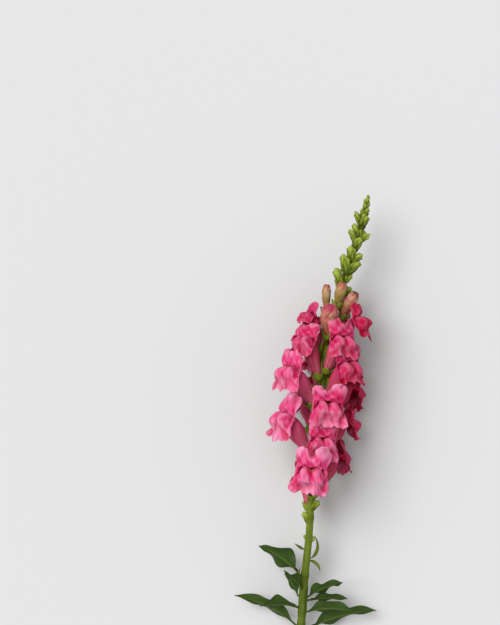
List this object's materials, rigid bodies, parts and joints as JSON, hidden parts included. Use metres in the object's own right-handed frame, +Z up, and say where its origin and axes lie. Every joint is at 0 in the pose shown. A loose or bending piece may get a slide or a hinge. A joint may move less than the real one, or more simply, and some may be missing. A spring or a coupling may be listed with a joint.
{
  "type": "snapdragon stem",
  "caption": "Cut snapdragon stem lying on a flat surface, with pink two-lipped blooms round its upper half, closed buds, a green tip and dark lance-shaped leaves.",
  "frame": {"origin": "bottom centre of the bounding box, on the surface that the stem lies on", "axes": "+Y runs along the stem from its cut to its green tip, +Z is up from the surface, +X is to the side"},
  "size_m": [0.114, 0.4109, 0.0822],
  "materials": {
    "stem": "matte yellow-green plant stem, calyces and green buds",
    "leaf": "satin dark green leaf with a paler midrib",
    "petal": "soft satin pink petal",
    "bud": "soft satin tan-pink bud"
  },
  "bodies": {
    "root": {"stem": "stem", "bloom_01": "petal", "bloom_02": "petal", "bloom_03": "petal", "bloom_04": "petal", "bloom_05": "petal", "bloom_06": "petal", "bloom_07": "petal", "bloom_08": "petal", "bloom_09": "petal", "bloom_10": "petal", "bloom_11": "petal", "bloom_12": "petal", "bloom_13": "petal", "bloom_14": "petal", "bloom_15": "petal", "bloom_16": "petal", "bloom_17": "petal", "bloom_18": "petal", "bloom_19": "petal", "bloom_20": "petal", "bud_01": "bud", "bud_02": "bud", "bud_03": "bud", "bud_04": "bud", "bud_05": "bud", "bud_06": "bud", "leaf_01": "leaf", "leaf_02": "leaf", "leaf_03": "leaf", "leaf_04": "leaf", "leaf_05": "leaf", "leaf_06": "leaf", "leaf_07": "leaf", "leaf_08": "leaf", "leaf_09": "leaf"}
  },
  "joints": []
}
